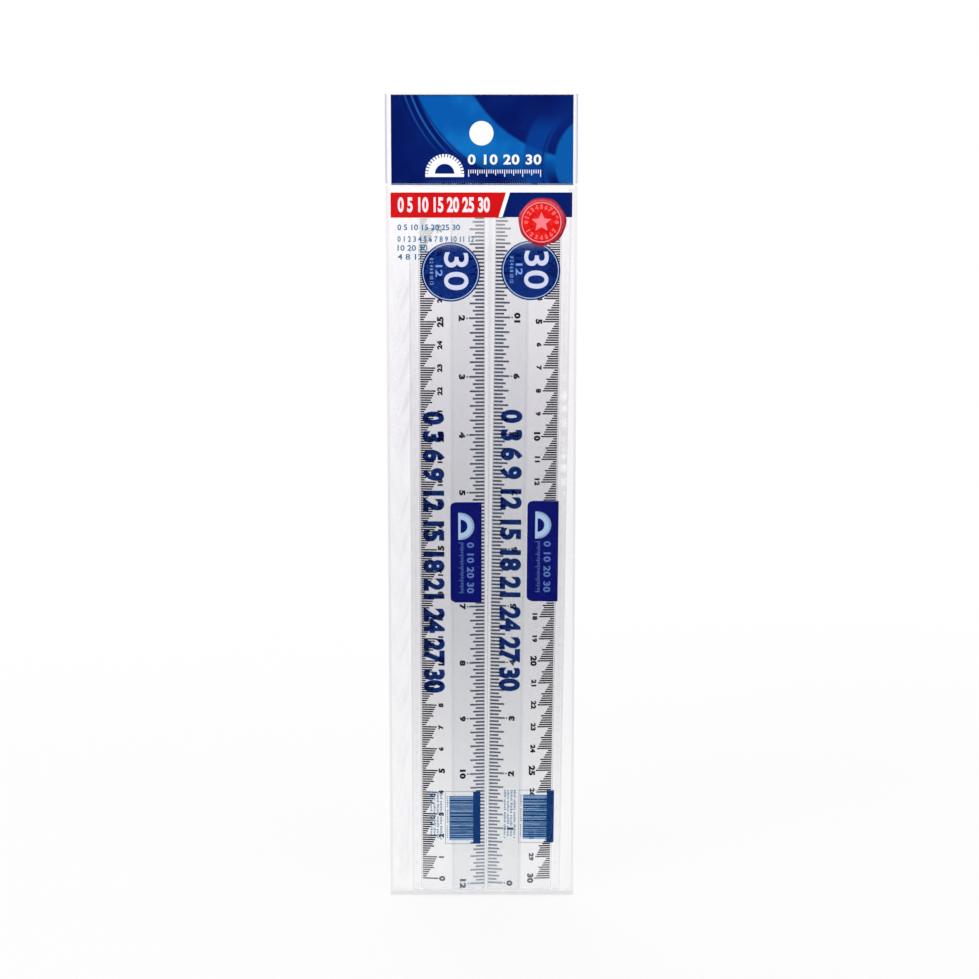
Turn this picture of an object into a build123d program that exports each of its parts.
"""A hang pack of two clear 30 cm rulers: each ruler stands in its own film sleeve, and both
sleeves stand side by side in a film pouch that hangs from a creased-on header.

Frame: +Z up, as the pack hangs from a peg, X across it and -Y towards the reader. The origin is
the centre of the hang hole, halfway through the header's two plies of film.
"""
from build123d import *
from math import atan2, cos, degrees, radians, sin
import os

# --- the bag's film, header and hang hole ---
film = 0.12                # one ply of bag film
header_above_hole = 16.5   # hang hole centre up to the header's top edge
crease_below_hole = 22.0   # hang hole centre down to the crease under the header
hole_radius = 5.15
crease_slack = 0.15        # soft film left bare on each side of the crease line
seam_height = 0.7          # knurled heat seal along the header's foot
knurl_pitch = 1.5
knurl_size = 0.6
knurl_height = 0.05

# --- the pouch ---
mouth_drop = 1.4           # the front film stops this far below the crease, which leaves the mouth
headroom = 2.6             # from the higher sleeve's top up to the crease
side_weld = 1.2            # width of the hot-cut welds down both sides
bottom_weld = 1.6          # height of the weld along the bottom
left_air = 8.75            # empty film between the left weld and the left sleeve
right_air = 1.12           # the same between the right sleeve's top corner and the right weld
front_land = 1.8           # the front film stays flat this far past a ruler's outer edge
weld_land = 0.5            # and lies on the back film this far in from each side weld
slide_gap = 0.3            # air between the pouch's films and the sleeves
sleeve_to_sleeve = 0.25    # air between the two sleeves at their feet

# --- the two sleeves ---
sleeve_film = 0.08
sleeve_margin = 4.0        # flattened film outside the ruler's outer edge
sleeve_shoulder = 1.8      # run of the slope from the ruler down to that margin
sleeve_weld = 0.8          # width of the weld along the margin's edge
sleeve_foot = 1.3          # height of the weld across the sleeve's foot
sleeve_overhang = 0.6      # the sleeve's open top stands this far above the ruler
ruler_gap = 0.2            # air between a sleeve's films and its ruler

# --- the two rulers ---
ruler_length = 310.0
ruler_width = 28.8
ruler_thickness = 2.3
ruler_edge = 1.1           # thickness left at the two long edges
bevel_width = 11.0         # run of the bevel that carries each scale
groove_width = 1.5
groove_depth = 0.35
ruler_corner = 1.5
scale_length = 303.0
scale_width = 10.4         # measured up the bevel
scale_inset = 0.3          # bare plastic between the long edge and the scale
foil = 0.03                # transfer foil that carries the printed scale

right_lean = 0.7           # degrees: the right-hand sleeve leans this far to the right at its top

# --- worked out from the sizes above: one sleeve, measured from its ruler's centre line ---
shoulder_top = ruler_width / 2 + ruler_gap                    # where the front film leaves the ruler
sleeve_inner = shoulder_top + sleeve_film                     # wall beside the ruler's inner edge
sleeve_outer = ruler_width / 2 + sleeve_margin                # edge of the flattened margin
sleeve_depth = 2 * sleeve_film + 2 * ruler_gap + ruler_thickness
foot_to_ruler_middle = sleeve_foot + sleeve_film + ruler_gap + ruler_length / 2
sleeve_length = foot_to_ruler_middle + ruler_length / 2 + sleeve_overhang

# --- the bag round both sleeves ---
lean_run = sleeve_length * sin(radians(right_lean))           # the right sleeve's top moves this far
low_corner = sleeve_outer * sin(radians(right_lean))          # and its outer bottom corner drops this
sleeves_width = 2 * (sleeve_inner + sleeve_outer) + sleeve_to_sleeve
bag_width = 2 * side_weld + left_air + sleeves_width + lean_run + right_air
pouch_height = bottom_weld + film + slide_gap + low_corner + sleeve_length + headroom
pouch_depth = sleeve_depth + 2 * slide_gap
half_bag = bag_width / 2
weld_inner_x = half_bag - side_weld
left_sleeve_x = -weld_inner_x + left_air + sleeve_outer
right_sleeve_x = left_sleeve_x + 2 * sleeve_inner + sleeve_to_sleeve
crease_z = -crease_below_hole
mouth_z = crease_z - mouth_drop
pouch_bottom_z = crease_z - pouch_height
weld_top_z = pouch_bottom_z + bottom_weld
sleeve_floor_z = weld_top_z + film + slide_gap

# --- the rulers' bevels ---
bevel_rise = ruler_thickness - ruler_edge
bevel_angle = degrees(atan2(bevel_rise, bevel_width))


def save(part, name):
    """Label one finished piece and write it to its own STEP file."""
    part.label = name
    export_step(part, f"parts/{name}.step")
    print(f"{name}: {part.volume:.2f} mm3 in {len(part.solids())} solid(s)")


def outer_corners(inner, thickness, hand):
    """Outer corners of a folded film: each inner corner pushed out along its crease's mitre."""
    corners = [Vector(*corner) for corner in inner]
    runs = [(end - start).normalized() for start, end in zip(corners, corners[1:])]
    normals = [Vector(hand * run.Y, -hand * run.X) for run in runs]
    mitres = [(a + b) * (1 / (1 + a.dot(b))) for a, b in zip(normals, normals[1:])]
    pushes = [normals[0], *mitres, normals[-1]]
    return [corner + push * thickness for corner, push in zip(corners, pushes)]


def folded_film(plane, inner, hollow, thickness, length, hand):
    """A film creased along straight lines, with a wall across its foot.

    inner lists the corners of the film's inner face, drawn across the film on plane. Each flat
    facet between two creases is one solid, mitred where it meets the next, and they run length
    along the plane's normal. The foot wall fills the hollow, whose corners are among the inner ones.
    """
    outer = outer_corners(inner, thickness, hand)
    facets = []
    for start in range(len(inner) - 1):
        with BuildPart() as facet:
            with BuildSketch(plane):
                with BuildLine():
                    Polyline(inner[start], inner[start + 1], outer[start + 1], outer[start], close=True)
                make_face()
            extrude(amount=length)
        facets.append(facet.part)
    with BuildPart() as foot_wall:
        with BuildSketch(plane):
            with BuildLine():
                Polyline(*hollow, close=True)
            make_face()
        extrude(amount=thickness)
    return Compound(children=[*facets, foot_wall.part])


os.makedirs("parts", exist_ok=True)

# ---------------------------------------------------------------- header: two plies and their seam
header_plies_foot = crease_z + crease_slack + seam_height
header_plies_height = header_above_hole - header_plies_foot

for ply_name, ply_back in (("header_front_film", 0.0), ("header_back_film", -film)):
    with BuildPart() as header_ply:
        with BuildSketch(Plane.XZ.offset(ply_back)):
            with Locations((0, header_plies_foot)):
                Rectangle(bag_width, header_plies_height, align=(Align.CENTER, Align.MIN))
            Circle(hole_radius, mode=Mode.SUBTRACT)
        extrude(amount=film)
    save(header_ply.part, ply_name)

# The seam: both plies melted into one strip, with a row of knurls standing on its front.
knurl_count = int((bag_width - 2 * knurl_size) // knurl_pitch)
with BuildPart() as header_seam:
    with BuildSketch(Plane.XZ.offset(-film)):
        with Locations((0, header_plies_foot)):
            Rectangle(bag_width, seam_height, align=(Align.CENTER, Align.MAX))
    extrude(amount=2 * film)
    with BuildSketch(Plane.XZ.offset(film)):
        with Locations((0, header_plies_foot - seam_height / 2)):
            with GridLocations(knurl_pitch, 1, knurl_count, 1):
                Rectangle(knurl_size, seam_height / 2)
    extrude(amount=knurl_height)
save(header_seam.part, "header_seam")

# ---------------------------------------------------------------- pouch: back film, front film, welds
with BuildPart() as bag_back_film:
    with BuildSketch(Plane.XZ.offset(-film)):
        with Locations((0, weld_top_z)):
            Rectangle(2 * weld_inner_x, crease_z - crease_slack - weld_top_z, align=(Align.CENTER, Align.MIN))
    extrude(amount=film)
save(bag_back_film.part, "bag_back_film")

# The front film lies on the back film beside the welds, climbs both shoulders and runs flat in
# front of the sleeves, down to an upright wall above the bottom weld.
front_film_corners = (
    (-weld_inner_x, 0),
    (weld_land - weld_inner_x, 0),
    (left_sleeve_x - shoulder_top - front_land, -pouch_depth),
    (right_sleeve_x + lean_run + shoulder_top + front_land, -pouch_depth),
    (weld_inner_x - weld_land, 0),
    (weld_inner_x, 0),
)
bag_front_film = folded_film(
    Plane.XY.offset(weld_top_z),
    front_film_corners,
    front_film_corners[1:-1],
    film,
    mouth_z - weld_top_z,
    hand=1,
)
save(bag_front_film, "bag_front_film")

for side, side_name in ((-1, "left"), (1, "right")):
    with BuildPart() as bag_side_weld:
        with BuildSketch(Plane.XZ.offset(-film)):
            with Locations((side * (half_bag - side_weld / 2), weld_top_z)):
                Rectangle(side_weld, crease_z - crease_slack - weld_top_z, align=(Align.CENTER, Align.MIN))
        extrude(amount=2 * film)
    save(bag_side_weld.part, f"bag_{side_name}_weld")

with BuildPart() as bag_bottom_weld:
    with BuildSketch(Plane.XZ.offset(-film)):
        with Locations((0, pouch_bottom_z)):
            Rectangle(bag_width, bottom_weld, align=(Align.CENTER, Align.MIN))
    extrude(amount=2 * film)
save(bag_bottom_weld.part, "bag_bottom_weld")


# ---------------------------------------------------------------- sleeves and rulers
def standing_plane(foot_x, foot_z, lean):
    """Plane across a sleeve's foot, square to the sleeve and centred on its ruler."""
    turn = radians(lean)
    return Plane(
        origin=(foot_x, -slide_gap, foot_z),
        x_dir=(cos(turn), 0, -sin(turn)),
        z_dir=(sin(turn), 0, cos(turn)),
    )


def make_sleeve(foot_plane, side, side_name):
    """One clear sleeve: a flat back film, a front film formed round the ruler, and two welds."""
    above_foot = foot_plane.offset(sleeve_foot)
    film_height = sleeve_length - sleeve_foot
    weld_start = sleeve_outer - sleeve_weld

    with BuildPart() as sleeve_back_film:
        with BuildSketch(above_foot):
            with BuildLine():
                Polyline(
                    (-side * sleeve_inner, 0),
                    (side * weld_start, 0),
                    (side * weld_start, -sleeve_film),
                    (-side * sleeve_inner, -sleeve_film),
                    close=True,
                )
            make_face()
        extrude(amount=film_height)
    save(sleeve_back_film.part, f"{side_name}_sleeve_back_film")

    front_film_corners = (
        (-side * shoulder_top, -sleeve_film),
        (-side * shoulder_top, sleeve_film - sleeve_depth),
        (side * shoulder_top, sleeve_film - sleeve_depth),
        (side * (shoulder_top + sleeve_shoulder), -sleeve_film),
        (side * weld_start, -sleeve_film),
    )
    sleeve_front_film = folded_film(
        above_foot,
        front_film_corners,
        front_film_corners[:-1],
        sleeve_film,
        film_height,
        hand=side,
    )
    save(sleeve_front_film, f"{side_name}_sleeve_front_film")

    with BuildPart() as sleeve_side_weld:
        with BuildSketch(above_foot):
            with Locations((side * (sleeve_outer - sleeve_weld / 2), -sleeve_film)):
                Rectangle(sleeve_weld, 2 * sleeve_film)
        extrude(amount=film_height)
    save(sleeve_side_weld.part, f"{side_name}_sleeve_side_weld")

    with BuildPart() as sleeve_foot_weld:
        with BuildSketch(foot_plane):
            with Locations((side * (sleeve_outer - sleeve_inner) / 2, -sleeve_film)):
                Rectangle(sleeve_outer + sleeve_inner, 2 * sleeve_film)
        extrude(amount=sleeve_foot)
    save(sleeve_foot_weld.part, f"{side_name}_sleeve_foot_weld")


def make_ruler(back_plane, side_name):
    """One clear ruler and its two printed scales.

    back_plane lies in the ruler's flat back, centred on it: its x runs from the centimetre edge
    to the inch edge, its y from centimetre 0 to 30, and its z out of the bevelled face.
    """
    half_width = ruler_width / 2
    half_groove = groove_width / 2
    section_plane = Plane(origin=back_plane.origin, x_dir=back_plane.x_dir, z_dir=-back_plane.y_dir)
    with BuildPart() as ruler_blade:
        with BuildSketch(section_plane):
            with BuildLine() as half_section:
                Polyline(
                    (0, 0),
                    (half_width, 0),
                    (half_width, ruler_edge),
                    (half_width - bevel_width, ruler_thickness),
                    (half_groove, ruler_thickness),
                    (half_groove / 2, ruler_thickness - groove_depth),
                    (0, ruler_thickness - groove_depth),
                )
                mirror(half_section.line, about=Plane.YZ)
            make_face()
        extrude(amount=ruler_length / 2, both=True)
        fillet(ruler_blade.edges().filter_by(Axis.Y), radius=ruler_corner)
    save(ruler_blade.part, f"{side_name}_ruler_blade")

    up_the_bevel = scale_inset + scale_width / 2
    for scale_side, scale_name in ((-1, "cm_scale"), (1, "inch_scale")):
        across = half_width - up_the_bevel * cos(radians(bevel_angle))
        height = ruler_edge + up_the_bevel * sin(radians(bevel_angle))
        on_bevel = Location((scale_side * across, 0, height), (0, scale_side * bevel_angle, 0))
        with BuildPart() as ruler_scale:
            with BuildSketch(Plane(back_plane.location * on_bevel)):
                Rectangle(scale_width, scale_length)
            extrude(amount=foil)
        save(ruler_scale.part, f"{side_name}_ruler_{scale_name}")


ruler_back = sleeve_film + ruler_gap       # depth of a ruler's flat back inside its sleeve
for side, side_name, foot_x, foot_z, lean, turned in (
    (-1, "left", left_sleeve_x, sleeve_floor_z, 0.0, False),
    (1, "right", right_sleeve_x, sleeve_floor_z + low_corner, right_lean, True),
):
    foot_plane = standing_plane(foot_x, foot_z, lean)
    make_sleeve(foot_plane, side, side_name)
    middle = foot_plane.origin + foot_plane.z_dir * foot_to_ruler_middle - Vector(0, ruler_back, 0)
    scale_start = -foot_plane.x_dir if turned else foot_plane.x_dir
    make_ruler(Plane(origin=middle, x_dir=scale_start, z_dir=(0, -1, 0)), side_name)
